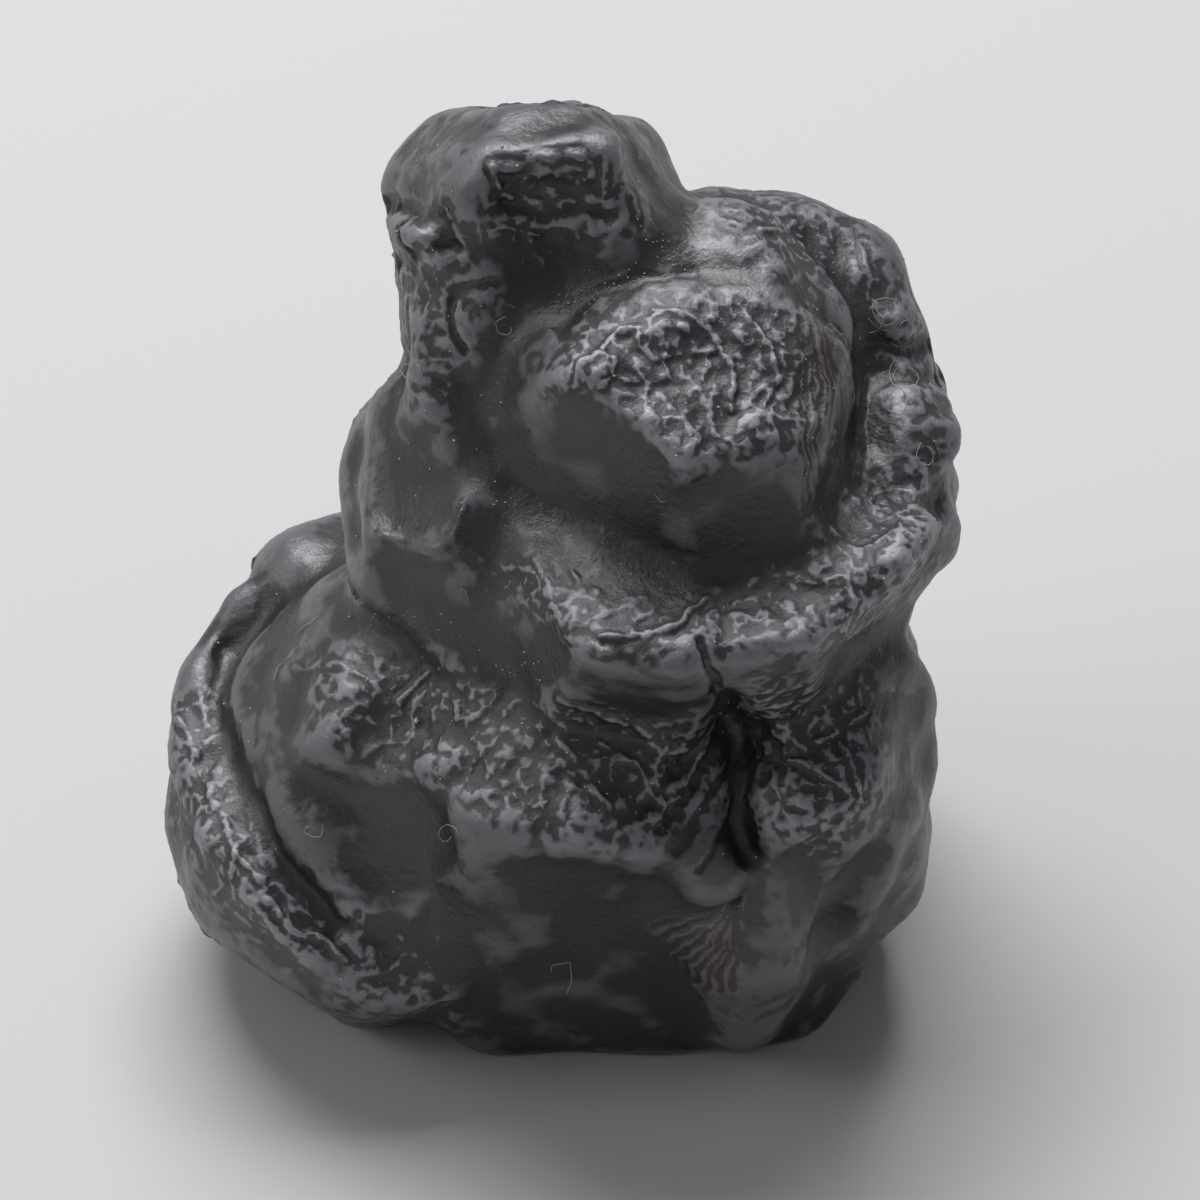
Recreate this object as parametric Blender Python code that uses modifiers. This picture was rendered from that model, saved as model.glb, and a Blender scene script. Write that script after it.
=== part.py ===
"""A limonite concretion cluster: nodules of dark iron oxide that grew together into one stone.

A wide lower nodule carries a collar, the collar carries a knob in front and a taller nodule
behind it, and a knobbly ridge wraps round the right side. Sizes and places are millimetres,
with X to the right, Y to the back and Z up, and turn into metres in the finished mesh."""

import math

import bmesh
import bpy
import numpy as np
from mathutils import Euler, Matrix, Vector, noise
from mathutils.bvhtree import BVHTree

MM = 0.001
STONE_NAME = "concretion_cluster"

# The main nodules: how high the middle of each lies, and half of its width.
LOWER_LEVEL, LOWER_HALF_WIDTH = 9.2, 16.0
COLLAR_LEVEL, COLLAR_HALF_WIDTH = 24.6, 13.4
KNOB_LEVEL, KNOB_HALF_WIDTH = 32.4, 8.0
TOP_LEVEL, TOP_HALF_WIDTH = 37.2, 7.3

# Surface marks are drawn on a square grid held before an eye, and fall on what that eye sees.
GRID_STEP = 0.045
GRID_MIDDLE = 600
EYE_DISTANCE = 300.0
MARK_SPACING = 6.0
FRONT_EYE = ((0.0, 4.3, 16.2), 0, 40)
BACK_EYE = ((0.0, 0.0, 21.0), 180, 25)
RIGHT_EYE = ((0.0, 0.0, 21.0), 90, 20)
LEFT_EYE = ((0.0, 0.0, 21.0), -90, 20)

# The skin: its grain, how far its edges are worn, the swells over it and its final facets.
GRAIN = 0.42
MASS_ROUNDNESS = 4
WEAR_OF_JOINTS = 4
WEAR_OF_MARKS = 2
SWELLS = [(5.0, 0.5, 3.1), (2.2, 0.22, 7.7)]
FACETS = 8600

DARK_OXIDE = (0.035, 0.030, 0.033, 1.0)
OXIDE_ROUGHNESS = 0.38
OXIDE_METALLIC = 0.45


def clear_scene():
    for old in list(bpy.data.objects):
        bpy.data.objects.remove(old, do_unlink=True)


def new_collection(name):
    made = bpy.data.collections.new(name)
    bpy.context.scene.collection.children.link(made)
    return made


def lump(centre, radii, turn=(0, 0, 0), flats=()):
    """A rounded mass. Each flat is the way it faces and one spot that it passes through."""
    mass = bmesh.new()
    bmesh.ops.create_icosphere(mass, subdivisions=MASS_ROUNDNESS, radius=1.0)
    turned = Euler([math.radians(angle) for angle in turn]).to_matrix()
    for vert in mass.verts:
        place = turned @ Vector([co * radius for co, radius in zip(vert.co, radii)])
        vert.co = place + Vector(centre)
    for facing, spot in flats:
        cut = bmesh.ops.bisect_plane(
            mass,
            geom=mass.verts[:] + mass.edges[:] + mass.faces[:],
            plane_co=spot,
            plane_no=facing,
            clear_outer=True,
        )
        rim = [part for part in cut["geom_cut"] if isinstance(part, bmesh.types.BMEdge)]
        bmesh.ops.holes_fill(mass, edges=rim)
    return mass


def beads(path):
    """A knobbly ridge: a string of lumps, each given by its centre and its radius."""
    return [lump(centre, (radius,) * 3) for centre, radius in path]


def lower_nodule():
    """The wide foot of the cluster, parted in front by one deep cleft."""
    return [
        lump(
            (-2.0, 1.8, LOWER_LEVEL),
            (LOWER_HALF_WIDTH, 12.8, 12.0),
            flats=[((0, 0, -1), (0, 0, -1.0))],
        ),
        lump(
            (-1.0, -2.6, 10.4),
            (10.8, 13.6, 14.0),
            flats=[
                ((0.02, -0.95, -0.30), (0.9, -14.2, 18.3)),
                ((0.0, -0.74, 0.67), (0.0, -12.6, 21.0)),
                ((0.97, -0.22, 0.0), (6.3, -9.0, 14.0)),
                ((0, -0.6, -0.8), (0, -9.0, 0.3)),
                ((-0.5, -0.5, -0.7), (-6.3, -7.4, 0.3)),
            ],
        ),
        lump(
            (-8.4, -2.4, 12.4),
            (7.2, 9.2, 10.0),
            flats=[((-0.2, -0.75, 0.63), (-9.6, -8.8, 18.6)), ((-0.3, -0.93, -0.2), (-9.0, -11.2, 15.0))],
        ),
        lump(
            (9.0, -2.4, 10.6),
            (5.8, 11.0, 13.6),
            flats=[
                ((0.1, -0.95, -0.28), (8.2, -12.6, 16.8)),
                ((0.05, -0.62, 0.78), (9.0, -9.6, 21.2)),
                ((0.72, -0.62, -0.3), (12.2, -7.8, 8.0)),
                ((0.3, -0.5, -0.8), (7.6, -10.2, 0.0)),
                ((0.8, -0.3, -0.5), (11.0, -4.2, 0.0)),
                ((-0.98, -0.2, 0.0), (6.2, -9.0, 14.0)),
            ],
        ),
        lump((6.4, -4.6, 10.6), (4.4, 8.8, 11.4)),
        lump(
            (-10.4, -0.5, 8.3),
            (9.1, 10.7, 9.9),
            flats=[((0, 0, -1), (0, 0, -0.8)), ((-0.55, -0.55, -0.62), (-14.8, -6.7, 3.3))],
        ),
    ]


def lower_rims():
    """The knob behind the rim of the lower nodule and the knobs low on its right side."""
    back_left = [
        ((-9.8, 7.4, 15.4), 3.4),
        ((-12.6, 6.2, 15.2), 3.3),
        ((-14.2, 4.2, 13.7), 3.2),
        ((-16.4, 2.2, 12.7), 2.6),
    ]
    right = [
        ((11.6, 1.6, 14.6), 3.0),
        ((11.6, 0.6, 9.4), 3.0),
        ((11.4, -0.2, 7.2), 3.0),
        ((10.8, -2.4, 5.4), 2.8),
    ]
    return beads(back_left) + beads(right)


def collar():
    """The thick ring that sits on the lower nodule, with a ledge standing out in front."""
    return [
        lump(
            (2.0, 1.4, COLLAR_LEVEL),
            (COLLAR_HALF_WIDTH, 12.6, 7.4),
            flats=[
                ((0, -0.3, 0.95), (2.0, -9.0, 28.6)),
                ((-0.44, -0.86, 0.22), (-5.1, -7.6, 25.0)),
                ((-0.96, -0.15, -0.1), (-11.2, -3.0, 25.0)),
                ((0.25, -0.9, -0.3), (8.0, -9.6, 24.0)),
                ((0.86, -0.36, -0.36), (13.3, -2.6, 23.6)),
            ],
        ),
        lump(
            (4.4, -4.2, COLLAR_LEVEL),
            (12.0, 12.2, 7.0),
            flats=[
                ((-0.1, -0.93, -0.36), (1.6, -13.0, 26.8)),
                ((0.28, -0.86, -0.42), (9.0, -12.0, 26.8)),
                ((0.75, -0.55, -0.3), (12.4, -7.6, 27.0)),
                ((-0.86, -0.48, 0.1), (-3.2, -9.0, 26.5)),
                ((0, -0.34, 0.94), (2.0, -9.0, 29.0)),
            ],
        ),
        lump(
            (-6.2, -1.0, 26.0),
            (6.0, 6.6, 5.8),
            flats=[
                ((-0.98, 0.05, 0.15), (-10.7, -3.0, 26.0)),
                ((-0.2, -0.96, 0.1), (-8.0, -5.6, 26.0)),
                ((-0.1, -0.46, 0.88), (-9.0, -4.2, 28.0)),
            ],
        ),
        lump(
            (10.8, 0.6, 25.6),
            (5.2, 7.6, 5.4),
            turn=(0, -8, 16),
            flats=[((0.86, -0.36, -0.36), (13.3, -2.2, 25.0))],
        ),
    ]


def front_knob():
    """The knob in front, with two dull facets under its rough cap."""
    return [
        lump(
            (3.6, -1.6, KNOB_LEVEL),
            (KNOB_HALF_WIDTH, 10.4, 7.4),
            flats=[
                ((-0.52, -0.85, -0.03), (3.3, -9.0, 34.0)),
                ((0.15, -0.98, 0.0), (3.3, -9.0, 34.0)),
                ((0.3, -0.55, 0.78), (3.4, -9.0, 34.6)),
                ((0.95, -0.3, 0.0), (10.4, -4.0, 33.0)),
                ((0, -0.08, 0.99), (2.0, -3.0, 38.6)),
            ],
        ),
        lump(
            (-2.0, 0.0, 30.0),
            (5.6, 7.0, 5.4),
            flats=[
                ((-0.52, -0.85, -0.03), (3.3, -9.0, 34.0)),
                ((-0.1, -0.8, 0.59), (-4.7, -5.4, 31.0)),
            ],
        ),
    ]


def top_nodule():
    """The highest nodule and the column that carries it, behind and left of the knob."""
    return [
        lump(
            (-2.7, 4.2, TOP_LEVEL),
            (TOP_HALF_WIDTH, 6.4, 8.2),
            flats=[
                ((0.03, -0.1, 0.99), (-2.6, 0.6, 43.6)),
                ((0.0, 0.66, 0.75), (-2.6, 4.0, 44.0)),
                ((0, -0.96, 0.28), (-2.0, -0.6, 41.0)),
                ((-0.74, 0.12, 0.66), (-6.7, 2.1, 41.6)),
                ((-0.97, -0.1, -0.1), (-9.0, 2.0, 39.0)),
                ((0.8, 0.1, 0.6), (1.1, 2.1, 42.0)),
            ],
        ),
        lump(
            (-3.0, 2.6, 30.0),
            (6.4, 9.0, 11.0),
            flats=[
                ((-0.1, -0.8, 0.59), (-4.7, -5.0, 31.0)),
                ((-0.98, 0.06, 0.12), (-8.3, 0.0, 33.5)),
                ((0.1, 0, 1), (-2.0, 0.0, 40.0)),
            ],
        ),
    ]


def right_ridge():
    """The knobbly ridge that wraps the knob from behind and runs down into the collar."""
    return beads(
        [
            ((5.0, 7.0, 32.6), 3.6),
            ((7.8, 7.2, 32.5), 3.8),
            ((9.9, 6.0, 31.9), 3.5),
            ((11.4, 4.3, 30.4), 3.2),
            ((12.2, 2.6, 28.8), 3.1),
            ((12.6, 0.8, 27.6), 3.2),
        ]
    ) + [lump((5.6, 4.0, 27.6), (8.0, 8.0, 8.0))]


def back_masses():
    """The rounded, partly flattened lobes that finish the far side of every nodule."""
    return [
        lump(
            (6.2, 8.2, 9.4),
            (8.0, 7.2, 9.2),
            turn=(0, 0, -20),
            flats=[((0.2, 0.93, -0.3), (6.0, 14.4, 9.0)), ((0.5, 0.5, 0.7), (9.0, 11.0, 15.4))],
        ),
        lump(
            (-5.6, 9.4, 8.4),
            (8.2, 6.6, 8.2),
            turn=(0, 14, 10),
            flats=[((-0.3, 0.94, -0.15), (-6.0, 15.2, 8.0)), ((-0.2, 0.7, 0.68), (-6.0, 12.6, 13.6))],
        ),
        lump((0.6, 11.2, 15.2), (5.0, 3.8, 4.2)),
        lump((10.6, 5.8, 11.4), (4.0, 5.0, 5.8), flats=[((0.9, 0.4, 0.1), (14.2, 7.0, 11.0))]),
        lump(
            (-3.6, 8.4, 23.4),
            (5.0, 5.4, 4.8),
            turn=(0, 10, 30),
            flats=[((-0.2, 0.95, -0.25), (-3.6, 12.6, 23.0)), ((-0.5, 0.4, 0.76), (-5.0, 11.0, 26.6))],
        ),
        lump((3.8, 10.6, 24.4), (5.6, 4.8, 5.2), flats=[((0.1, 0.96, -0.25), (3.8, 14.6, 24.0))]),
        lump(
            (10.4, 7.4, 25.2),
            (5.0, 5.2, 4.8),
            flats=[((0.6, 0.75, -0.25), (12.6, 10.6, 25.0)), ((0.4, 0.4, 0.82), (11.0, 9.0, 28.6))],
        ),
        lump((-6.7, 4.2, 23.6), (3.6, 4.0, 4.0)),
        lump((-4.4, 7.4, 33.4), (4.8, 4.2, 5.4), flats=[((-0.5, 0.85, 0.1), (-5.6, 10.2, 34.0))]),
        lump((1.0, 9.0, 31.0), (4.6, 3.6, 4.4)),
    ]


def grow_together(masses, guides):
    """Joins the masses into one closed skin with an even grain."""
    joined = bmesh.new()
    for number, mass in enumerate(masses):
        mesh = bpy.data.meshes.new(f"mass_{number:02d}")
        mass.transform(Matrix.Scale(MM, 4))
        mass.to_mesh(mesh)
        mass.free()
        guide = bpy.data.objects.new(mesh.name, mesh)
        guide.display_type = "WIRE"
        guide.hide_render = True
        guides.objects.link(guide)
        joined.from_mesh(mesh)
    mesh = bpy.data.meshes.new(STONE_NAME)
    joined.to_mesh(mesh)
    joined.free()
    return mesh


def run_modifier(stone, kind, **settings):
    """Runs one modifier on the stone and keeps its result."""
    modifier = stone.modifiers.new(kind, kind)
    for name, value in settings.items():
        setattr(modifier, name, value)
    graph = bpy.context.evaluated_depsgraph_get()
    made = bpy.data.meshes.new_from_object(stone.evaluated_get(graph))
    stone.modifiers.remove(modifier)
    worn_out = stone.data
    stone.data = made
    bpy.data.meshes.remove(worn_out)
    made.name = STONE_NAME


class Clay:
    """The stone's skin as arrays, pushed in and out by marks. Lengths here are millimetres."""

    def __init__(self, stone):
        self.mesh = stone.data
        self.count = len(self.mesh.vertices)
        self.look()

    def look(self):
        """Reads the places and facings again, after a set of marks."""
        flat = np.empty(self.count * 3)
        self.mesh.vertices.foreach_get("co", flat)
        self.at = flat.reshape(-1, 3) / MM
        self.mesh.vertex_normals.foreach_get("vector", flat)
        self.facing = flat.reshape(-1, 3).copy()
        corners = [tuple(face.vertices) for face in self.mesh.polygons]
        self.skin = BVHTree.FromPolygons([tuple(spot) for spot in self.at], corners)

    def keep(self):
        """Writes the places back to the mesh and looks at it again."""
        self.mesh.vertices.foreach_set("co", (self.at * MM).ravel())
        self.mesh.update()
        self.look()

    def seen(self, eye, across, down):
        """The spot of skin, and its facing, that an eye sees at one place of its grid."""
        target, turn, rise = eye
        turn, rise = math.radians(turn), math.radians(rise)
        level = math.cos(rise)
        towards = Vector((math.sin(turn) * level, -math.cos(turn) * level, math.sin(rise)))
        right = Vector((math.cos(turn), math.sin(turn), 0))
        start = Vector(target) + towards * EYE_DISTANCE
        step_right = right * (across - GRID_MIDDLE) * GRID_STEP
        step_down = towards.cross(right) * (down - GRID_MIDDLE) * GRID_STEP
        line = (step_right - step_down - towards * EYE_DISTANCE).normalized()
        spot, facing, _, _ = self.skin.ray_cast(start, line)
        return (np.array(spot), np.array(facing)) if spot else None

    def trace(self, path, eye):
        """Closely set spots of skin under a path drawn on the grid."""
        drawn = []
        for start, end in zip(path, path[1:] + path[-1:]):
            steps = max(1, round(math.dist(start, end) / MARK_SPACING))
            drawn += [tuple(np.add(start, np.subtract(end, start) * n / steps)) for n in range(steps)]
        drawn.append(path[-1])
        return [spot for spot in (self.seen(eye, *place) for place in drawn) if spot]

    def reach(self, path, width, eye):
        """How strongly a mark of this width touches each vertex, from 0 to 1."""
        share = np.zeros(self.count)
        for spot, facing in self.trace(path, eye):
            near = np.clip(1 - np.linalg.norm(self.at - spot, axis=1) / width, 0, 1)
            near *= np.clip(self.facing @ facing + 0.4, 0, 1)
            share = np.maximum(share, near)
        return share * share * (3 - 2 * share)

    def push(self, path, width, height, eye=FRONT_EYE):
        """Raises the skin along a path, or sinks it where the height is below nought."""
        self.at += self.facing * (self.reach(path, width, eye) * height)[:, None]

    def flatten(self, path, width, facing, sink=0.0, eye=FRONT_EYE):
        """Levels the skin round the first spot of a path to one plane."""
        spot, _ = self.seen(eye, *path[0])
        facing = np.array(Vector(facing).normalized())
        over = (self.at - spot) @ facing + sink
        self.at -= facing * (over * self.reach(path, width, eye))[:, None]


def wear_top_nodule(clay):
    """A sharp crest over a shadowed scoop, a second ledge and the grooves at its left edge."""
    clay.push([(522, 202), (550, 194), (584, 190)], 3.0, -1.1)
    clay.push([(560, 275), (600, 300)], 4.0, -0.8)
    clay.push([(376, 202), (415, 208), (440, 222), (452, 248)], 1.6, -1.0)
    clay.push([(400, 282), (430, 282), (462, 300)], 1.5, -0.6)
    clay.keep()
    clay.push([(490, 170), (540, 162), (570, 154), (602, 150)], 1.4, 0.6)
    clay.push([(604, 152), (606, 188)], 1.2, 0.5)
    clay.push([(498, 224), (545, 216), (592, 214)], 1.4, 0.6)
    clay.push([(392, 232), (425, 236)], 2.0, 0.5)
    clay.push([(470, 190), (458, 232)], 1.4, 0.5)
    clay.push([(400, 310), (440, 330), (470, 350)], 1.8, 0.4)
    clay.keep()


def wear_knob_and_ridge(clay):
    """The cap's nose over the facets, the joint beside the ridge and the ridge's creases."""
    clay.push([(655, 430), (685, 450)], 2.4, 0.7)
    clay.push([(560, 380), (600, 368)], 1.6, 0.4)
    clay.push([(745, 432), (795, 436)], 1.6, 0.5)
    clay.push([(800, 284), (850, 322), (872, 372), (872, 430)], 1.7, -0.9)
    clay.push([(872, 346), (912, 345), (940, 342)], 1.3, -0.9)
    clay.push([(895, 376), (945, 378)], 1.0, -0.5)
    clay.push([(800, 250), (830, 300)], 1.4, -0.5)
    clay.push([(700, 268), (760, 276)], 1.4, -0.5)
    clay.keep()
    clay.push([(720, 214), (790, 226), (840, 228)], 1.8, 0.5)
    clay.push([(905, 330), (905, 318)], 1.6, 0.5)
    clay.push([(905, 400), (905, 425)], 2.0, 0.6)
    clay.push([(948, 440), (950, 460)], 1.8, 0.6)
    clay.keep()


def wear_collar(clay):
    """The flat plate at its left, the notch in its front and the worn hollow at its right."""
    clay.push([(882, 478), (872, 505)], 2.8, -0.8)
    clay.push([(714, 655), (716, 690)], 1.3, -0.5)
    clay.push([(505, 545), (560, 575)], 2.0, -0.4)
    clay.keep()
    clay.push([(378, 532), (438, 545), (470, 500)], 1.2, 0.5)
    clay.push([(675, 650), (690, 655)], 1.8, 0.5)
    clay.push([(738, 640), (800, 632)], 1.8, 0.4)
    clay.push([(560, 600), (610, 640)], 1.8, 0.4)
    clay.push([(900, 560), (925, 520)], 2.0, 0.5)
    clay.keep()


def wear_lower_nodule(clay):
    """The cleft, the rim with the groove inside it, the hollow, the crest and the knobs."""
    clay.push([(725, 700), (735, 720), (742, 760), (745, 850)], 1.4, -1.3)
    clay.push([(262, 605), (228, 650), (208, 720), (232, 780), (272, 860), (330, 930)], 1.8, -0.9)
    clay.push([(350, 815), (400, 870), (425, 930)], 4.4, -1.5)
    clay.push([(290, 700), (300, 790)], 2.2, -0.7)
    clay.push([(700, 770), (672, 850), (640, 905)], 1.6, -0.5)
    clay.push([(745, 870), (750, 930)], 1.6, -0.7)
    clay.push([(876, 860), (840, 930)], 2.0, -0.8)
    clay.keep()
    clay.push([(238, 600), (194, 662), (184, 720), (192, 790), (210, 830)], 1.8, 0.7)
    clay.push([(210, 830), (257, 898), (300, 943), (342, 958)], 1.9, 0.8)
    clay.push([(352, 978), (400, 992), (445, 988)], 2.0, 0.9)
    clay.push([(312, 745), (370, 766), (440, 772)], 2.0, 0.7)
    clay.push([(470, 822), (540, 826), (620, 838), (680, 862)], 2.2, 0.7)
    clay.push([(770, 815), (830, 800), (868, 765)], 2.2, 0.7)
    clay.push([(705, 884), (722, 878)], 1.9, 1.0)
    clay.push([(915, 812), (896, 850), (872, 892)], 2.2, 0.6)
    clay.push([(896, 650), (915, 700), (912, 745)], 2.0, 0.4)
    clay.flatten([(712, 962), (730, 955)], 2.4, (0.1, -0.98, -0.1), 0.4)
    clay.keep()


def wear_far_side(clay):
    """Clefts between the lobes behind, with worn crests along their shoulders."""
    clay.push([(600, 640), (590, 720), (600, 830), (580, 930)], 1.8, -1.2, BACK_EYE)
    clay.push([(590, 730), (520, 760), (440, 750)], 1.5, -0.8, BACK_EYE)
    clay.push([(640, 500), (610, 570), (600, 620)], 1.5, -0.9, BACK_EYE)
    clay.push([(760, 470), (740, 540)], 1.5, -0.8, BACK_EYE)
    clay.push([(700, 800), (780, 790), (850, 730)], 2.6, -0.7, BACK_EYE)
    clay.push([(560, 700), (600, 780), (620, 860)], 1.6, -0.9, RIGHT_EYE)
    clay.push([(520, 560), (600, 575), (700, 560)], 1.4, -0.6, RIGHT_EYE)
    clay.push([(560, 560), (620, 590), (700, 590)], 1.6, -0.6, LEFT_EYE)
    clay.push([(560, 300), (600, 360), (590, 420)], 1.5, -0.7, LEFT_EYE)
    clay.keep()
    clay.push([(430, 700), (500, 690), (560, 715)], 2.2, 0.7, BACK_EYE)
    clay.push([(650, 700), (720, 690), (800, 660)], 2.2, 0.7, BACK_EYE)
    clay.push([(440, 500), (520, 480), (600, 490)], 2.0, 0.6, BACK_EYE)
    clay.push([(680, 480), (740, 450)], 1.8, 0.5, BACK_EYE)
    clay.push([(640, 640), (700, 690), (740, 780)], 2.0, 0.6, RIGHT_EYE)
    clay.push([(460, 690), (500, 760), (500, 860)], 1.8, 0.6, RIGHT_EYE)
    clay.push([(600, 200), (640, 250), (650, 320)], 1.8, 0.5, BACK_EYE)
    clay.keep()


def roughen(clay, spacing, height, seed):
    """A gentle unevenness all over: how far apart its swells are, and how high."""
    drift = Vector((seed, 2 * seed, 3 * seed))
    swell = [noise.noise(Vector(spot) / spacing + drift) for spot in clay.at]
    clay.at += clay.facing * (np.array(swell) * height)[:, None]
    clay.keep()


def finish_of_oxide():
    """Dark grey-brown iron oxide with a dull metal sheen."""
    finish = bpy.data.materials.new("iron_oxide")
    finish.use_nodes = True
    surface = finish.node_tree.nodes["Principled BSDF"].inputs
    surface["Base Color"].default_value = DARK_OXIDE
    surface["Roughness"].default_value = OXIDE_ROUGHNESS
    surface["Metallic"].default_value = OXIDE_METALLIC
    return finish


def stand_on_base(stone):
    """Cuts the worn resting face flat at Z = 0 and centres the stone over the origin."""
    skin = bmesh.new()
    skin.from_mesh(stone.data)
    cut = bmesh.ops.bisect_plane(
        skin,
        geom=skin.verts[:] + skin.edges[:] + skin.faces[:],
        plane_co=(0, 0, 0),
        plane_no=(0, 0, -1),
        clear_outer=True,
    )
    rim = [part for part in cut["geom_cut"] if isinstance(part, bmesh.types.BMEdge)]
    bmesh.ops.holes_fill(skin, edges=rim)
    shift = Vector((0, 0, 0))
    for axis in range(2):
        reach = [vert.co[axis] for vert in skin.verts]
        shift[axis] = -(min(reach) + max(reach)) / 2
    bmesh.ops.translate(skin, vec=shift, verts=skin.verts[:])
    bmesh.ops.recalc_face_normals(skin, faces=skin.faces[:])
    skin.to_mesh(stone.data)
    skin.free()
    return shift


clear_scene()
guides = new_collection("masses")
home = new_collection(STONE_NAME)
masses = lower_nodule() + lower_rims() + collar() + front_knob() + top_nodule()
masses += right_ridge() + back_masses()
stone = bpy.data.objects.new(STONE_NAME, grow_together(masses, guides))
home.objects.link(stone)
run_modifier(stone, "REMESH", mode="VOXEL", voxel_size=GRAIN * MM)
run_modifier(stone, "SMOOTH", factor=0.5, iterations=WEAR_OF_JOINTS)
clay = Clay(stone)
wear_top_nodule(clay)
wear_knob_and_ridge(clay)
wear_collar(clay)
wear_lower_nodule(clay)
wear_far_side(clay)
run_modifier(stone, "REMESH", mode="VOXEL", voxel_size=GRAIN * MM)
run_modifier(stone, "SMOOTH", factor=0.5, iterations=WEAR_OF_MARKS)
clay = Clay(stone)
for spacing, height, seed in SWELLS:
    roughen(clay, spacing, height, seed)
share = FACETS / sum(len(face.vertices) - 2 for face in stone.data.polygons)
run_modifier(stone, "DECIMATE", ratio=share)
MOVED = stand_on_base(stone)
stone.data.materials.append(finish_of_oxide())
stone.data.shade_smooth()
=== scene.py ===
import math

import bpy
import numpy as np
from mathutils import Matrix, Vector, noise
from mathutils.bvhtree import BVHTree


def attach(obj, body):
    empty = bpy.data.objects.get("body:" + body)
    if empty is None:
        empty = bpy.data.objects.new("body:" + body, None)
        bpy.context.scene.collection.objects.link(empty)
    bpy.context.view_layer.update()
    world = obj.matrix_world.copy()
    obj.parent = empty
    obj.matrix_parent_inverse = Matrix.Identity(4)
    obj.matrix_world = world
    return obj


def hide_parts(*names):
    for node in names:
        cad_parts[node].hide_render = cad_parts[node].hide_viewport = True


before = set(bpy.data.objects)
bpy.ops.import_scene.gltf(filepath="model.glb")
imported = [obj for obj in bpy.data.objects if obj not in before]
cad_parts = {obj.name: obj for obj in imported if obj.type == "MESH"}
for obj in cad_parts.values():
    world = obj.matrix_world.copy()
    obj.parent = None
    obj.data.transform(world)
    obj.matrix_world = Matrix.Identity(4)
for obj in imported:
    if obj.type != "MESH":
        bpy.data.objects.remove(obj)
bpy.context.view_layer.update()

# The stone: one cluster of rounded nodules that grew together, of dense, dark iron oxide.
# Its skin is copied from the solid and given a finer grain. Its worn crests and hollows are pressed into
# the skin, and its colour carries a painted highlight on the crests and painted shade in the hollows.
MM = 0.001
STONE_NODE = "concretion_cluster"
WELD_GAP = 0.002
GRAIN = 0.15
GRAIN_SOFTENING = 6
KEPT_TRIANGLES = 190000


def link_object(name, data):
    """A new object in the scene for a mesh, a curve, a lamp or the camera."""
    made = bpy.data.objects.new(name, data)
    bpy.context.scene.collection.objects.link(made)
    return made


def run_modifier(piece, kind, **settings):
    """Runs one modifier on a piece and keeps its result."""
    modifier = piece.modifiers.new(kind, kind)
    for name, value in settings.items():
        setattr(modifier, name, value)
    graph = bpy.context.evaluated_depsgraph_get()
    made = bpy.data.meshes.new_from_object(piece.evaluated_get(graph))
    piece.modifiers.remove(modifier)
    piece.data = made


stone = link_object("stone_skin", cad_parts[STONE_NODE].data.copy())
run_modifier(stone, "WELD", merge_threshold=WELD_GAP * MM)
run_modifier(stone, "SUBSURF", levels=1, render_levels=1)
run_modifier(stone, "REMESH", mode="VOXEL", voxel_size=GRAIN * MM)
run_modifier(stone, "SMOOTH", factor=0.5, iterations=GRAIN_SOFTENING)

# The marks are drawn on a grid of 1200 steps across, as the stone's front shows them to an eye
# that looks along +Y from 40 degrees above the table. Places, widths and edges of marks are in
# steps of that grid, and heights and spacings are in millimetres. A drawn line wanders a little.
GRID_STEP = 0.045
GRID_MIDDLE = 600
EYE_DISTANCE = 300.0
EYE_RISE = math.radians(40)
EYE_TARGET = np.array([1.898, 3.544, 16.2])
TOWARDS_EYE = np.array([0.0, -math.cos(EYE_RISE), math.sin(EYE_RISE)])
EYE_UP = np.array([0.0, math.sin(EYE_RISE), math.cos(EYE_RISE)])
EYE_AT = EYE_TARGET + TOWARDS_EYE * EYE_DISTANCE
LINE_WANDER = 5.0
WANDER_SPACING = 1.4
FLECK_SPACING = 0.8
LEAST_FACING = 0.02
SIGHT_ROOM = 0.5
FACET_EDGE = 22.0
FACET_REACH = 0.8
FACET_CORE = 0.6
CREST_HOLLOW = 0.35
CREST_KEPT, FLECK_WEAR, LEAST_CREST, MOST_CREST = 0.55, 0.9, 0.1, 1.2
VEIN_SHARPNESS = 5.0
NOISE_FALL, NOISE_FINER = 1.0, 2.1


def soften(share):
    """Turns a straight fade from 0 to 1 into one with soft ends."""
    return share * share * (3 - 2 * share)


def gap_to_line(spots, start, end):
    """How far each spot of the grid lies from a straight line between two places."""
    run = end - start
    share = np.clip((spots - start) @ run / (run @ run), 0, 1)
    return np.linalg.norm(spots - start - share[:, None] * run, axis=1)


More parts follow.
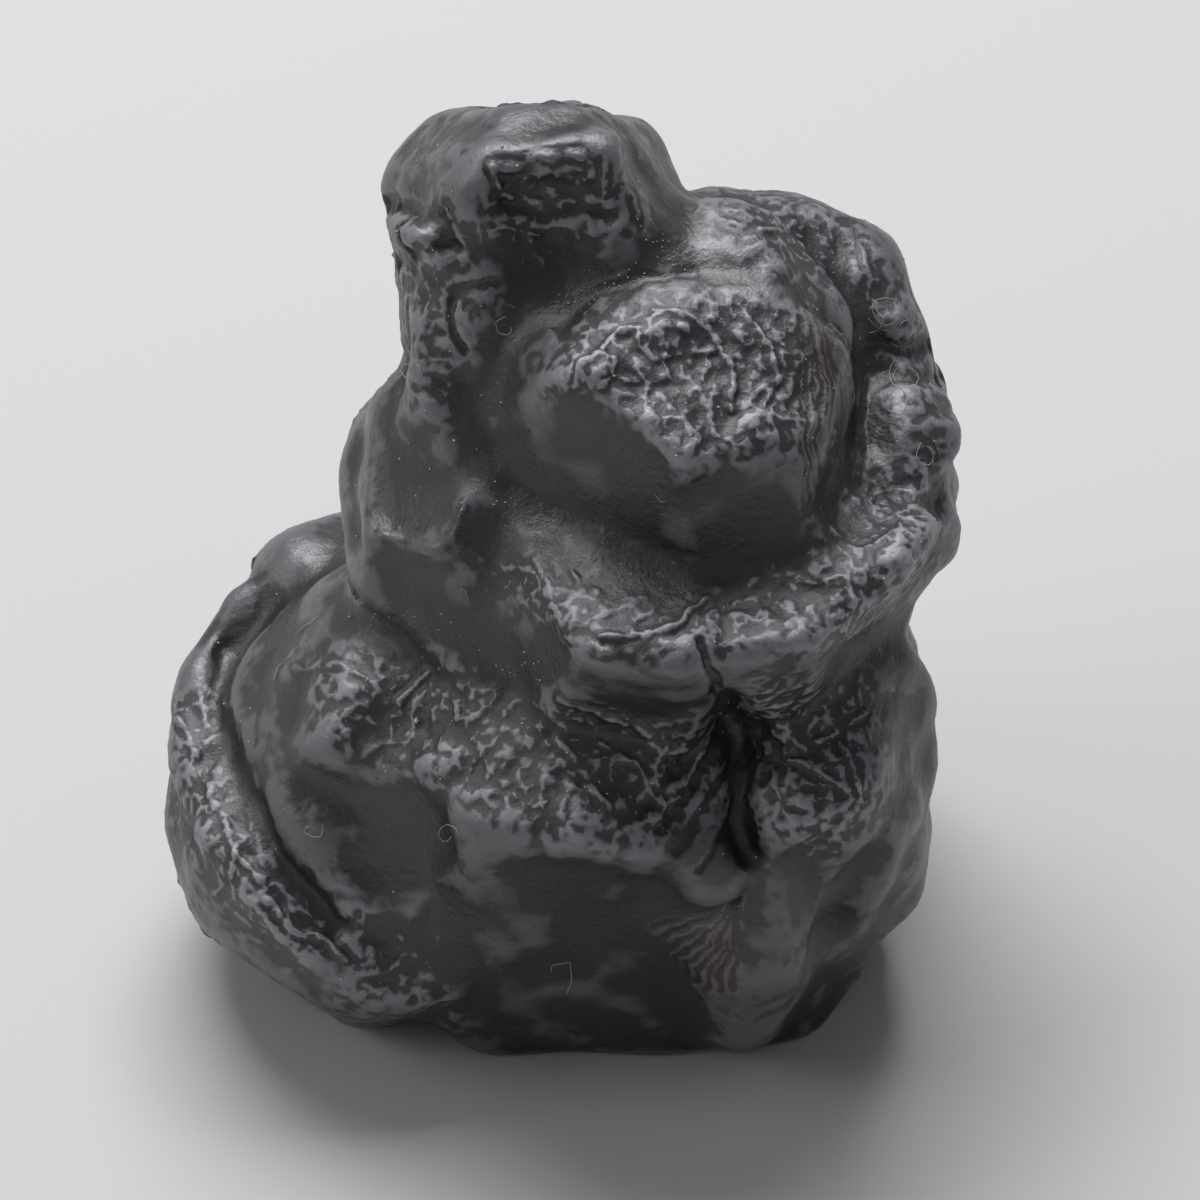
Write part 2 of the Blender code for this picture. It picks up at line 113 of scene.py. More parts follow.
class Skin:
    """The stone's skin as arrays, in millimetres, and where each spot of it shows on the grid."""

    def __init__(self, mesh):
        self.mesh = mesh
        self.count = len(mesh.vertices)
        self.read()
        away = self.at - EYE_AT
        scale = EYE_DISTANCE / (-away @ TOWARDS_EYE) / GRID_STEP
        self.across = GRID_MIDDLE + away[:, 0] * scale
        self.down = GRID_MIDDLE - (away @ EYE_UP) * scale
        self.across += self.ripple(WANDER_SPACING, seed=21.0, detail=2) * LINE_WANDER
        self.down += self.ripple(WANDER_SPACING, seed=34.0, detail=2) * LINE_WANDER
        self.fleck = self.ripple(FLECK_SPACING, seed=47.0, detail=2)
        self.seen = self.facing @ TOWARDS_EYE > LEAST_FACING
        corners = [tuple(face.vertices) for face in mesh.polygons]
        sides = BVHTree.FromPolygons([tuple(spot) for spot in self.at], corners)
        for index in np.flatnonzero(self.seen):
            sight = Vector(away[index])
            hit = sides.ray_cast(Vector(EYE_AT), sight.normalized())
            self.seen[index] = hit[3] is None or hit[3] > sight.length - SIGHT_ROOM

    def read(self):
        """Takes the places and directions of the mesh's vertices."""
        flat = np.empty(self.count * 3)
        self.mesh.vertices.foreach_get("co", flat)
        self.at = flat.reshape(-1, 3) / MM
        self.mesh.vertex_normals.foreach_get("vector", flat)
        self.facing = flat.reshape(-1, 3).copy()

    def keep(self):
        """Gives the worn places back to the mesh."""
        self.mesh.vertices.foreach_set("co", (self.at * MM).ravel())
        self.mesh.update()
        self.read()

    def raise_by(self, heights):
        """Moves each vertex out by its own height."""
        self.at += self.facing * heights[:, None]

    def near_path(self, path, width):
        """Seen vertices within a width of a drawn path, and each one's share, 1 on the path to 0."""
        path = np.array(path, float)
        low, high = path.min(0) - width, path.max(0) + width
        near = np.flatnonzero(
            self.seen
            & (self.across > low[0])
            & (self.across < high[0])
            & (self.down > low[1])
            & (self.down < high[1])
        )
        spots = np.stack([self.across[near], self.down[near]], axis=1)
        gap = np.full(len(near), np.inf)
        for start, end in zip(path, path[1:]):
            gap = np.minimum(gap, gap_to_line(spots, start, end))
        inside = gap < width
        return near[inside], 1 - gap[inside] / width

    def groove(self, path, width, depth):
        """Sinks a soft groove along a path."""
        near, share = self.near_path(path, width)
        self.at[near] -= self.facing[near] * (soften(share) * depth)[:, None]

    def crest(self, path, width, height):
        """Raises a sharp crest along a path, broken by flecks, with hollow flanks."""
        near, share = self.near_path(path, width)
        sharp = share**3 - CREST_HOLLOW * np.sin(share * math.pi) ** 2 * (1 - share)
        broken = np.clip(CREST_KEPT + FLECK_WEAR * self.fleck[near], LEAST_CREST, MOST_CREST)
        self.at[near] += self.facing[near] * (sharp * height * broken)[:, None]

    def zone(self, outline, edge):
        """How far inside a drawn outline each seen vertex lies: 1 inside, fading over an edge."""
        outline = np.array(outline, float)
        inside = np.zeros(self.count, bool)
        gap = np.full(self.count, np.inf)
        spots = np.stack([self.across, self.down], axis=1)
        for start, end in zip(outline, np.roll(outline, -1, axis=0)):
            gap = np.minimum(gap, gap_to_line(spots, start, end))
            if start[1] != end[1]:
                crosses = (start[1] > self.down) != (end[1] > self.down)
                slope = (end[0] - start[0]) / (end[1] - start[1])
                inside ^= crosses & (self.across < start[0] + (self.down - start[1]) * slope)
        return soften(np.clip(np.where(inside, gap, -gap) / edge * 0.5 + 0.5, 0, 1)) * self.seen

    def most_inside(self, zones, edge):
        """The strongest of several zones at each vertex, where each has a strength of its own."""
        most = np.zeros(self.count)
        for outline, strength in zones:
            most = np.maximum(most, self.zone(outline, edge) * strength)
        return most

    def facet(self, outline, share):
        """Wears the skin inside a drawn outline towards one flat facet."""
        inside = self.zone(outline, FACET_EDGE)
        chosen = inside > FACET_CORE
        middle = self.at[chosen].mean(0)
        square_to = np.linalg.svd(self.at[chosen] - middle, full_matrices=False)[2][2]
        square_to = square_to if square_to @ self.facing[chosen].mean(0) > 0 else -square_to
        over = np.clip((self.at - middle) @ square_to, -FACET_REACH, FACET_REACH)
        self.at -= square_to * (over * inside * share)[:, None]

    def ripple(self, spacing, seed, detail=1):
        """Smooth noise over the skin, about -1 to 1, with swells of one spacing."""
        spots = self.at / spacing + seed
        waves = [noise.fractal(Vector(spot), NOISE_FALL, NOISE_FINER, detail) for spot in spots]
        return np.array(waves)

    def veins(self, spacing, seed):
        """Winding crests, 1 on a crest and 0 away from it."""
        return np.clip(1 - np.abs(self.ripple(spacing, seed, detail=2)) * VEIN_SHARPNESS, 0, 1)


skin = Skin(stone.data)

# The stone's crust: it is broken into a net of small crests where the stone was knocked and worn,
# and smooth and dull between those zones and on the flats. The zones and flats are drawn on the
# front; the back has soft patches of both. Nothing is raised near the face that it rests on.
ROUGH_EDGE = 30.0
ROUGH_ZONES = [
    # the knob's cap
    ([(545, 395), (575, 330), (640, 300), (730, 295), (800, 310), (815, 380), (800, 450),
      (740, 455), (680, 470), (630, 420), (580, 385)], 1.0),
    # the collar's ledge
    ([(480, 565), (530, 560), (600, 600), (700, 600), (800, 560), (860, 480), (950, 430),
      (930, 560), (860, 640), (760, 650), (640, 655), (570, 640), (520, 600)], 0.9),
    # the ridge on the right
    ([(700, 200), (760, 190), (850, 210), (930, 330), (955, 430), (880, 430), (880, 330),
      (830, 290), (760, 270)], 0.7),
    # the lower nodule's shoulder
    ([(320, 660), (420, 650), (560, 710), (700, 730), (730, 800), (650, 850), (540, 840),
      (460, 800), (400, 760), (320, 740)], 0.8),
    # the lobe to the right of the cleft
    ([(755, 690), (870, 680), (880, 800), (830, 850), (760, 830)], 0.9),
    # the lower nodule's left rim
    ([(175, 700), (215, 690), (230, 800), (300, 900), (350, 950), (300, 960), (220, 890),
      (180, 800)], 1.0),
    # the scoop under the top crest, the top nodule's left flank and the left foot
    ([(470, 165), (620, 140), (640, 230), (560, 260), (470, 240)], 0.6),
    ([(385, 215), (470, 215), (480, 300), (450, 420), (410, 400), (395, 300)], 0.6),
    ([(340, 890), (450, 930), (450, 1010), (350, 1000)], 0.7),
]
SMOOTH_EDGE = 24.0
SMOOTH_ZONES = [
    # the knob's flats, the lower front and the slope under the left plate
    ([(500, 480), (545, 400), (600, 390), (640, 430), (690, 480), (790, 460), (800, 520),
      (740, 560), (620, 550)], 1.0),
    ([(300, 830), (440, 880), (560, 850), (700, 880), (690, 1030), (500, 1030), (420, 980)], 1.0),
    ([(345, 545), (440, 560), (560, 640), (680, 675), (680, 705), (560, 690), (350, 620)], 1.0),
]
CALM_OF_SMOOTH = 0.85
PATCH_SPACING, PATCH_CONTRAST, PATCH_LEAN, PATCH_STRENGTH = 9.0, 1.6, 0.1, 0.8
BASE_KEEP = 0.5


def broken_crust(of_skin):
    """How broken the crust is at each vertex: as drawn on the front, in soft patches behind."""
    drawn = of_skin.most_inside(ROUGH_ZONES, ROUGH_EDGE)
    patches = of_skin.ripple(PATCH_SPACING, seed=4.0) * PATCH_CONTRAST + PATCH_LEAN
    behind = np.clip(patches, 0, PATCH_STRENGTH)
    return np.where(of_skin.seen, drawn, behind)


rough = broken_crust(skin)
calm = 1 - CALM_OF_SMOOTH * skin.most_inside(SMOOTH_ZONES, SMOOTH_EDGE)
worked = calm * np.clip(skin.at[:, 2] / BASE_KEEP, 0, 1)

FACETS = [
    # the knob's two flats
    ([(505, 490), (545, 408), (600, 388), (640, 418), (678, 475), (692, 545), (640, 550),
      (560, 525)], 0.75),
    ([(688, 478), (740, 448), (796, 454), (804, 518), (760, 556), (706, 556)], 0.7),
    # the collar's left plate and the slope under it
    ([(378, 525), (385, 450), (430, 430), (465, 500), (452, 540), (400, 543)], 0.6),
    ([(352, 548), (440, 562), (540, 622), (600, 690), (560, 688), (480, 658), (347, 620)], 0.35),
    # the top nodule's crown, the lower front, and small plates on the left
    ([(425, 168), (500, 164), (600, 148), (640, 150), (605, 112), (500, 114), (445, 128)], 0.5),
    ([(447, 850), (560, 850), (680, 880), (700, 1025), (560, 1032), (442, 1000)], 0.3),
    ([(384, 222), (425, 222), (440, 258), (392, 262)], 0.5),
    ([(470, 395), (478, 345), (530, 305), (548, 320), (520, 385), (490, 420)], 0.4),
    ([(300, 785), (440, 800), (460, 880), (440, 940), (370, 890)], 0.25),
]
for outline, share in FACETS:
    skin.facet(outline, share)

# Each ripple has a spacing, a seed, a detail, its height, and its further height on broken crust.
RIPPLES = [(3.2, 1.3, 1, 0.18, 0.0), (1.3, 5.1, 3, 0.035, 0.13), (0.55, 9.4, 2, 0.012, 0.06)]
NET_SPACING, NET_HEIGHT = 2.6, 0.09
FINE_NET_SPACING, FINE_NET_HEIGHT = 1.2, 0.05
NET_SINK = 0.04
for spacing, seed, detail, height, broken_height in RIPPLES:
    skin.raise_by(skin.ripple(spacing, seed, detail) * (height + broken_height * rough) * worked)
net = skin.veins(NET_SPACING, seed=8.2)
fine_net = skin.veins(FINE_NET_SPACING, seed=2.7)
skin.raise_by((net**2 * NET_HEIGHT + fine_net**2 * FINE_NET_HEIGHT - NET_SINK) * rough * worked)
skin.keep()

# The stone's single marks: the crests, ledges, grooves and cracks that can be told apart on its
# front. Each is a drawn path with a width and a height or depth. Crests are worn broader and lower
# than they are drawn.
CREST_BROADENING = 1.15
CREST_WEAR = 0.95
CRESTS = [
    # the top nodule
    ([(490, 170), (520, 166), (540, 163), (570, 156), (590, 160), (602, 150)], 9, 0.35),
    ([(602, 150), (607, 170), (604, 192)], 8, 0.3),
    ([(492, 172), (500, 192), (512, 198)], 8, 0.25),
    ([(622, 188), (634, 204), (638, 218)], 7, 0.25),
    ([(448, 190), (444, 205), (452, 216)], 7, 0.25),
    ([(488, 232), (500, 228), (540, 235)], 7, 0.15),
    ([(500, 310), (506, 300), (515, 308)], 7, 0.2),
    # the knob's cap
    ([(576, 385), (580, 368), (592, 358), (610, 340), (640, 322), (660, 316)], 9, 0.35),
    ([(600, 352), (620, 336), (645, 326)], 7, 0.2),
    ([(655, 312), (690, 318), (705, 330), (720, 345), (735, 372), (730, 410)], 8, 0.3),
    ([(690, 318), (712, 322)], 7, 0.2),
    ([(740, 305), (755, 325), (770, 350), (778, 380), (765, 400)], 8, 0.3),
    ([(640, 322), (640, 345), (655, 360)], 7, 0.2),
    ([(665, 355), (690, 350), (715, 348)], 7, 0.2),
    ([(680, 330), (700, 335)], 7, 0.2),
    ([(600, 385), (615, 372), (640, 380)], 7, 0.15),
    # the collar
    ([(465, 500), (462, 520), (452, 540)], 7, 0.3),
    ([(378, 530), (400, 546), (440, 548), (455, 540)], 8, 0.2),
    ([(533, 560), (545, 580), (552, 605), (565, 620)], 8, 0.25),
    ([(573, 573), (580, 588), (595, 590)], 7, 0.25),
    ([(600, 640), (640, 635), (680, 625), (705, 600)], 9, 0.3),
    ([(570, 636), (600, 652), (640, 654)], 8, 0.25),
    # the lower nodule's shoulder and left rim
    ([(300, 672), (340, 662), (380, 690)], 8, 0.2),
    ([(402, 700), (412, 685), (430, 672), (440, 670)], 9, 0.35),
    ([(440, 690), (455, 700), (460, 720)], 8, 0.3),
    ([(180, 720), (190, 740), (200, 760)], 9, 0.3),
    ([(205, 780), (215, 800), (235, 850), (262, 880)], 10, 0.35),
    ([(270, 900), (290, 930), (330, 940), (345, 960)], 10, 0.4),
    # the lobe to the right of the cleft
    ([(820, 740), (850, 725), (866, 710)], 8, 0.3),
    ([(790, 760), (820, 770), (850, 790)], 8, 0.25),
    ([(840, 740), (855, 770), (860, 800)], 7, 0.25),
    # the ridge on the right
    ([(860, 250), (868, 275), (866, 300)], 8, 0.3),
    ([(720, 222), (760, 232), (790, 228)], 8, 0.2),
    # the lower nodule's front
    ([(560, 700), (600, 715), (650, 735)], 8, 0.2),
    ([(600, 740), (640, 770), (660, 800)], 8, 0.25),
    ([(560, 735), (580, 770), (600, 800)], 8, 0.2),
]
GROOVES = [
    # the top nodule's left flank and scoop
    ([(380, 200), (410, 208), (440, 222), (452, 248)], 14, 0.25),
    ([(395, 262), (420, 250), (450, 246)], 14, 0.2),
    ([(458, 290), (475, 285), (495, 282)], 12, 0.2),
    ([(452, 300), (450, 330), (462, 350)], 7, 0.2),
    ([(505, 205), (540, 212), (580, 208), (610, 215)], 14, 0.25),
    # round the knob, and the creases of the ridge beside it
    ([(560, 330), (575, 305), (600, 292), (640, 280), (690, 275)], 12, 0.15),
    ([(800, 290), (830, 330), (845, 390), (835, 450)], 14, 0.12),
    ([(870, 345), (910, 345), (935, 342)], 14, 0.15),
    ([(880, 376), (940, 378)], 14, 0.15),
    # the cleft, the left rim's groove and the collar's notch
    ([(725, 700), (735, 740), (742, 790), (745, 850)], 20, 0.18),
    ([(225, 650), (215, 700), (235, 770), (285, 860), (340, 930)], 16, 0.2),
    ([(700, 640), (712, 660), (716, 690)], 8, 0.25),
    # the wrinkles to the left of the cleft
    ([(735, 700), (705, 760), (660, 830)], 9, 0.12),
    ([(722, 700), (690, 755), (640, 815)], 9, 0.10),
    ([(740, 740), (715, 790), (680, 850)], 9, 0.12),
    ([(742, 790), (725, 830), (700, 870)], 9, 0.10),
]
for path, width, height in CRESTS:
    skin.crest(path, width * CREST_BROADENING, height * CREST_WEAR)
for path, width, depth in GROOVES:
    skin.groove(path, width, depth)

# The knob's right flank has upright flutes side by side, and a fan-shaped scar low on the front
# has rays from its head. In both, each second one is deeper.
FIRST_FLUTE = np.array([(796, 295), (802, 380), (805, 520)])
FLUTE_SHIFT = np.array([(0.6, 0.5), (1.0, 0.0), (0.8, -0.4)])
FLUTES, FLUTE_STEP, FLUTE_WIDTH, FLUTE_DEPTHS = 12, 6.2, 4.0, (0.06, 0.10)
SCAR_HEAD = np.array([742, 900])
SCAR_RAYS, SCAR_REACH, SCAR_RAY_WIDTH, SCAR_RAY_DEPTHS = 9, 92, 4.5, (0.05, 0.09)
SCAR_FIRST_ANGLE, SCAR_ANGLE_STEP = 95, 8.5
for number in range(FLUTES):
    flute = FIRST_FLUTE + FLUTE_SHIFT * (number * FLUTE_STEP)
    skin.groove(flute, FLUTE_WIDTH, FLUTE_DEPTHS[number % 2])
for number in range(SCAR_RAYS):
    angle = math.radians(SCAR_FIRST_ANGLE + number * SCAR_ANGLE_STEP)
    ray_foot = SCAR_HEAD + SCAR_REACH * np.array([math.cos(angle), math.sin(angle)])
    skin.groove([SCAR_HEAD, ray_foot], SCAR_RAY_WIDTH, SCAR_RAY_DEPTHS[number % 2])
skin.keep()
run_modifier(stone, "DECIMATE", ratio=KEPT_TRIANGLES / (2 * len(stone.data.polygons)))
stone.data.shade_smooth()

# The stone's relief and zones, kept on the mesh for its finish: how far each spot stands out of the skin
# close by (for the painted crest highlight) and of the skin around (for the painted shade in hollows), how
# broken the crust is, how far it faces up (for the painted top light), and where it is browner.
CREST_RISE = 0.05
SHOULDER_RISE = 0.16
CLOSE_BY, AROUND, FACING_AROUND = 3, 12, 4
BROWN_EDGE = 40.0
BROWN_ZONES = [
    # the top nodule's right side, the fan scar and the knob's right flank
    ([(600, 105), (690, 150), (690, 250), (640, 200)], 1.0),
    ([(690, 905), (740, 910), (748, 990), (700, 985)], 1.0),
    ([(800, 300), (860, 340), (860, 480), (800, 540)], 1.0),
]
worn = Skin(stone.data)
edges = np.empty(len(stone.data.edges) * 2, int)
stone.data.edges.foreach_get("vertices", edges)
edges = edges.reshape(-1, 2)
neighbours = np.maximum(np.bincount(edges.ravel(), minlength=worn.count), 1)


def spread(values, times):
    """Evens places or directions out between neighbours."""
    for _ in range(times):
        total = np.zeros_like(values)
        for one, other in ((0, 1), (1, 0)):
            np.add.at(total, edges[:, one], values[edges[:, other]])
        values = total / neighbours[:, None]
    return values


def paint(name, values):
    """Keeps one number for each vertex of the stone under a name."""
    layer = stone.data.attributes.new(name, "FLOAT", "POINT")
    layer.data.foreach_set("value", np.asarray(values, np.float32))


close_by = spread(worn.at, CLOSE_BY)
around = spread(close_by, AROUND)
stands_out = ((worn.at - close_by) * worn.facing).sum(1)
stands_wide = ((close_by - around) * worn.facing).sum(1)
paint("crest", np.clip(0.5 + stands_out / CREST_RISE, 0, 1))
paint("shoulder", np.clip(0.5 + stands_wide / SHOULDER_RISE, 0, 1))
paint("rough", broken_crust(worn))
paint("upward", np.clip(spread(worn.facing, FACING_AROUND)[:, 2], 0, 1))
paint("brown", worn.most_inside(BROWN_ZONES, BROWN_EDGE))

# The stone's finish: near-black iron oxide with a semi-metallic gloss, brown in a few places. Painted shade
# makes it black in hollows, painted top light makes faces that look up greyer, and a painted highlight
# makes crests bright.
OXIDE_TONES = [(0.3, (0.008, 0.006, 0.006)), (0.5, (0.016, 0.012, 0.012)), (0.72, (0.028, 0.022, 0.023))]
WORN_GREY = (0.046, 0.037, 0.036)
OCHRE_BROWN = (0.060, 0.034, 0.020)
# The next three tones are painted light: a lighter grey for faces that look up, black shade for hollows and
# a pale highlight for crests.
PAINTED_TOP_LIGHT = (0.080, 0.070, 0.073)
PAINTED_SHADE_BLACK = (0.010, 0.008, 0.009)
PAINTED_CREST_HIGHLIGHT = (0.32, 0.30, 0.33)
BROWN_SHARE, TOP_LIGHT_SHARE, PAINTED_SHADE_SHARE = 0.55, 0.5, 0.45
HIGHLIGHT_ON_SMOOTH, HIGHLIGHT_MORE_ON_ROUGH = 0.3, 0.7
LEAST_ROUGHNESS, MOST_ROUGHNESS, BROKEN_ROUGHNESS = 0.30, 0.46, 0.50
METAL_SHARE, OXIDE_IOR = 0.15, 1.75
PORE_DEPTH, PORE_STRENGTH, WIDE_PORE_SHARE = 0.12, 0.5, 0.8
CLOUDS, BLOTCHES, WIDE_PORES, FINE_PORES = 160, 700, 1500, 3200
finish = bpy.data.materials.new("iron_oxide_crust")
finish.use_nodes = True
nodes, links = finish.node_tree.nodes, finish.node_tree.links
surface = nodes["Principled BSDF"]


def grey(value):
    """A colour with no hue."""
    return (value, value, value)


def feed(socket, value):
    """Links a node's result into a socket, or sets the socket to a number or a colour."""
    if isinstance(value, bpy.types.NodeSocket):
        links.new(value, socket)
    elif isinstance(value, tuple):
        socket.default_value = (*value, 1)
    else:
        socket.default_value = value


def painted(name):
    """The numbers that were painted on the stone under a name."""
    node = nodes.new("ShaderNodeAttribute")
    node.attribute_name = name
    return node.outputs["Fac"]


def ramp(source, stops):
    """Turns a number into a colour by stops of a place and a colour."""
    node = nodes.new("ShaderNodeValToRGB")
    while len(node.color_ramp.elements) < len(stops):
        node.color_ramp.elements.new(0.5)
    for element, (place, colour) in zip(node.color_ramp.elements, stops):
        element.position = place
        element.color = (*colour, 1)
    links.new(source, node.inputs["Fac"])
    return node.outputs["Color"]


def mix(share, first, second):
    """Blends the first colour into the second by a share."""
    node = nodes.new("ShaderNodeMix")
    node.data_type = "RGBA"
    feed(node.inputs[0], share)
    feed(node.inputs[6], first)
    feed(node.inputs[7], second)
    return node.outputs[2]


def work_out(kind, first, second):
    """Adds or multiplies two numbers."""
    node = nodes.new("ShaderNodeMath")
    node.operation = kind
    feed(node.inputs[0], first)
    feed(node.inputs[1], second)
    return node.outputs[0]


def mottle(swells_per_metre, detail=4.0, roughness=0.55):
    """Cloudy noise that is fixed to the stone."""
    node = nodes.new("ShaderNodeTexNoise")
    node.inputs["Scale"].default_value = swells_per_metre
    node.inputs["Detail"].default_value = detail
    node.inputs["Roughness"].default_value = roughness
    links.new(stone_place, node.inputs["Vector"])
    return node.outputs["Fac"]


stone_place = nodes.new("ShaderNodeTexCoord").outputs["Object"]
blotches = mottle(BLOTCHES)
ground = ramp(mottle(CLOUDS), OXIDE_TONES)
ground = mix(ramp(blotches, [(0.3, grey(0.0)), (0.8, grey(0.3))]), ground, WORN_GREY)
ground = mix(work_out("MULTIPLY", painted("brown"), BROWN_SHARE), ground, OCHRE_BROWN)
# Painted top light: faces that look up are mixed towards a lighter grey, as if lit from above.
top_light = ramp(painted("upward"), [(0.15, grey(0.0)), (0.75, grey(1.0))])
ground = mix(work_out("MULTIPLY", top_light, TOP_LIGHT_SHARE), ground, PAINTED_TOP_LIGHT)
# Painted shade: hollows sunk below the skin around are darkened towards black.
painted_shade = ramp(painted("shoulder"), [(0.05, grey(1.0)), (0.7, grey(0.0))])
ground = mix(work_out("MULTIPLY", painted_shade, PAINTED_SHADE_SHARE), ground, PAINTED_SHADE_BLACK)
# Painted highlight: crests that stand out of the skin close by are lightened to a pale grey, more on broken
# crust.
crest_highlight = ramp(painted("crest"), [(0.6, grey(0.0)), (1.0, grey(1.0))])
crest_highlight_share = work_out("MULTIPLY", painted("rough"), HIGHLIGHT_MORE_ON_ROUGH)
crest_highlight_share = work_out("ADD", crest_highlight_share, HIGHLIGHT_ON_SMOOTH)
colour = mix(work_out("MULTIPLY", crest_highlight, crest_highlight_share), ground, PAINTED_CREST_HIGHLIGHT)
links.new(colour, surface.inputs["Base Color"])
gloss = ramp(blotches, [(0.3, grey(LEAST_ROUGHNESS)), (0.7, grey(MOST_ROUGHNESS))])
links.new(mix(painted("rough"), gloss, grey(BROKEN_ROUGHNESS)), surface.inputs["Roughness"])
surface.inputs["Metallic"].default_value = METAL_SHARE
surface.inputs["IOR"].default_value = OXIDE_IOR
bump = nodes.new("ShaderNodeBump")
bump.inputs["Strength"].default_value = PORE_STRENGTH
bump.inputs["Distance"].default_value = PORE_DEPTH * MM
fine_pores = mottle(FINE_PORES, detail=5.0, roughness=0.65)
pores = work_out("ADD", fine_pores, work_out("MULTIPLY", mottle(WIDE_PORES), WIDE_PORE_SHARE))
links.new(pores, bump.inputs["Height"])
links.new(bump.outputs["Normal"], surface.inputs["Normal"])
stone.data.materials.clear()
stone.data.materials.append(finish)
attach(stone, "root")
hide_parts(STONE_NODE)

# Dust: pale mineral crumbs, a tenth of a millimetre across, that fell on the crust and gathered in
# its creases. Each has eight sides and sits a little sunk in the skin. One crumb on the lower
# nodule and one on the crown are larger.
SPECKS = 420
SPECK_RADIUS = 0.05
CREASE_SPECK_RADIUS = SPECK_RADIUS * 0.9
CREASE_SCATTER = 7
CREASES = [
    ([(560, 300), (600, 292), (640, 278), (690, 266)], 60),
    ([(470, 480), (520, 520), (600, 560), (680, 590)], 40),
    ([(350, 610), (420, 620), (500, 650), (560, 690)], 40),
    ([(720, 690), (740, 740)], 14),
    ([(640, 230), (680, 265)], 26),
]
LARGER_CRUMBS = [((421, 718), SPECK_RADIUS * 4.5), ((500, 145), SPECK_RADIUS * 2.0)]
CRUMB_CORNERS = np.array([(1, 0, 0), (-1, 0, 0), (0, 1, 0), (0, -1, 0), (0, 0, 1), (0, 0, -1)], float)
CRUMB_SIDES = [(0, 2, 4), (2, 1, 4), (1, 3, 4), (3, 0, 4), (2, 0, 5), (1, 2, 5), (3, 1, 5), (0, 3, 5)]
CRUMB_LIFT = 0.4
CRUMB_UNEVENNESS = (0.5, 1.2)
SPECK_SIZES = (0.5, 1.5)
LEAST_UPWARD, LEAST_HEIGHT = 0.15, 1.0
draw = np.random.default_rng(11)
crumb_points, crumb_faces = [], []


def nearest_seen(across, down):
    """The seen vertex that lies closest to a place on the grid."""
    gap = (worn.across - across) ** 2 + (worn.down - down) ** 2 + np.where(worn.seen, 0, 1e9)
    return int(np.argmin(gap))


def add_crumb(index, size):
    """Lays one uneven crumb on a vertex of the stone."""
    first = len(crumb_points)
    shape = CRUMB_CORNERS * size * draw.uniform(*CRUMB_UNEVENNESS, CRUMB_CORNERS.shape)
    crumb_points.extend((worn.at[index] + worn.facing[index] * size * CRUMB_LIFT + shape) * MM)
    crumb_faces.extend(tuple(first + corner for corner in side) for side in CRUMB_SIDES)


def speckled_finish(name, speckles_per_metre, dark, pale, roughness):
    """A dull finish whose tone shifts from speckle to speckle."""
    made = bpy.data.materials.new(name)
    made.use_nodes = True
    tree = made.node_tree
    speckle = tree.nodes.new("ShaderNodeTexNoise")
    speckle.inputs["Scale"].default_value = speckles_per_metre
    tones = tree.nodes.new("ShaderNodeValToRGB")
    tones.color_ramp.elements[0].color = (*dark, 1)
    tones.color_ramp.elements[1].color = (*pale, 1)
    tree.links.new(speckle.outputs["Fac"], tones.inputs["Fac"])
    tree.links.new(tones.outputs["Color"], tree.nodes["Principled BSDF"].inputs["Base Color"])
    tree.nodes["Principled BSDF"].inputs["Roughness"].default_value = roughness
    return made


looks_up = np.flatnonzero((worn.facing[:, 2] > LEAST_UPWARD) & (worn.at[:, 2] > LEAST_HEIGHT))
landed = [(int(index), SPECK_RADIUS) for index in draw.choice(looks_up, SPECKS)]
for path, count in CREASES:
    path = np.array(path, float)
    for _ in range(count):
        leg = draw.integers(len(path) - 1)
        on_line = path[leg] + (path[leg + 1] - path[leg]) * draw.random()
        spot = on_line + draw.normal(0, CREASE_SCATTER, 2)
        landed.append((nearest_seen(*spot), CREASE_SPECK_RADIUS))
for index, radius in landed:
    add_crumb(index, radius * draw.uniform(*SPECK_SIZES))
for place, radius in LARGER_CRUMBS:
    add_crumb(nearest_seen(*place), radius)
dust_mesh = bpy.data.meshes.new("dust_specks")
dust_mesh.from_pydata([tuple(spot) for spot in crumb_points], [], crumb_faces)
dust_mesh.materials.append(speckled_finish("pale_dust", 900, (0.35, 0.31, 0.27), (0.75, 0.72, 0.68), 0.9))
dust = link_object("dust_specks", dust_mesh)
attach(dust, "root")

# Lint: fine pale textile fibres, a fortieth of a millimetre thick, that have caught on the crust.
# Each is a loose curl, or a short straight thread, laid along the skin and held by its roughness.
LINT_RADIUS = 0.012
LINT_LIFT = 0.05
LINT_POINTS = 22
LINT_SOFTENING = 3
# Each fibre has its middle, its reach, its turns (none for a straight one) and the way it starts.
LINT_FIBRES = [
    ((885, 312), 22, 1.4, 0.3), ((905, 330), 16, 1.1, 2.0), ((905, 378), 20, 1.5, 1.0),
    ((898, 400), 14, 0.8, 3.6), ((925, 455), 12, 0.9, 5.0), ((410, 372), 12, 0.8, 1.4),
    ((508, 325), 12, 0.7, 0.2), ((560, 972), 16, 0.7, 3.3), ((448, 832), 11, 0.9, 0.8),
    ((315, 832), 10, 0.8, 5.4), ((458, 592), 9, 0.5, 3.3), ((870, 318), 14, 0.6, 4.4),
    ((285, 665), 20, 0, 2.2), ((310, 625), 14, 0, 2.5), ((668, 500), 8, 0.4, 1.0),
]


def fibre_line(middle, reach, turns, start):
    """Places on the grid along one fibre."""
    share = np.linspace(0, 1, LINT_POINTS)
    angle = start + turns * 2 * math.pi * share
    out = reach * (0.55 + 0.45 * share) if turns else reach * (2 * share - 1)
    return np.array(middle) + out[:, None] * np.stack([np.cos(angle), np.sin(angle)], axis=1)


